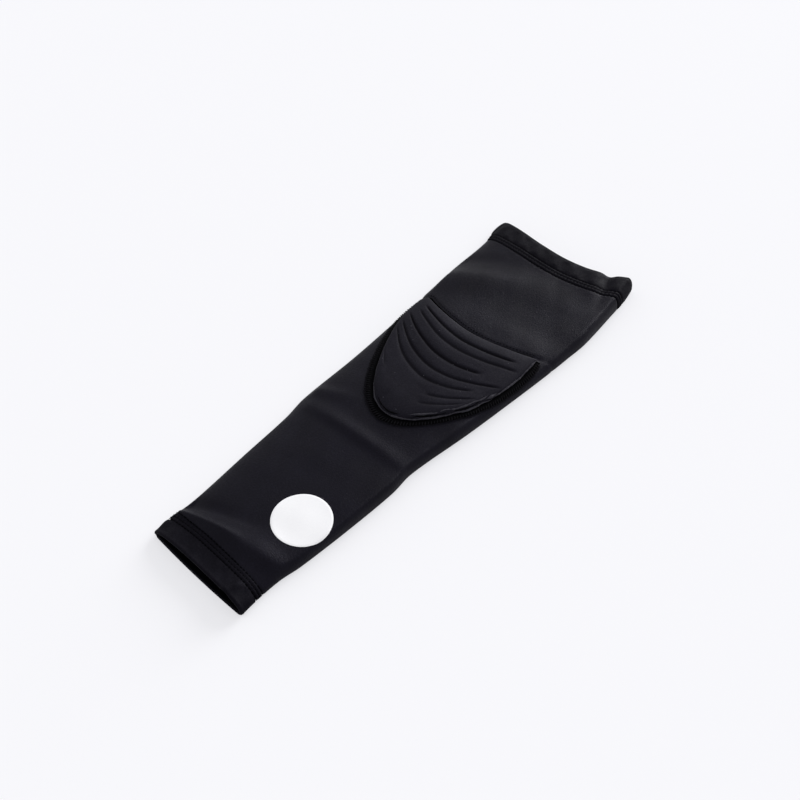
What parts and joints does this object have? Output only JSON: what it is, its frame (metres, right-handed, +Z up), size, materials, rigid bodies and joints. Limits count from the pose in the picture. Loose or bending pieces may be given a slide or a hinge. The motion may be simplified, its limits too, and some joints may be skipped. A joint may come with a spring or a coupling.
{
  "type": "padded arm sleeve",
  "caption": "Tapered stretch-knit arm sleeve lying flat, open at both ends, with turned hems, a grooved foam elbow pad in a flat seam band and a plain round print.",
  "frame": {"origin": "centre of the sleeve's bounding box, on the surface it lies on", "axes": "+X along the sleeve from the wrist to the upper arm, +Z up from the table through the pad"},
  "size_m": [0.382, 0.1252, 0.0211],
  "materials": {
    "knit": "matte stretch knit with a faint sheen",
    "hem": "matte stretch knit, turned double and coverstitched",
    "pad": "matte knit cover moulded over foam",
    "thread": "dark textured flat-seam thread",
    "print": "satin white heat-transfer film"
  },
  "bodies": {
    "root": {"wrist_hem": "hem", "forearm_panel": "knit", "upper_arm_panel": "knit", "upper_hem": "hem", "elbow_pad": "pad", "pad_seam": "thread", "print_dot": "print"}
  },
  "joints": []
}
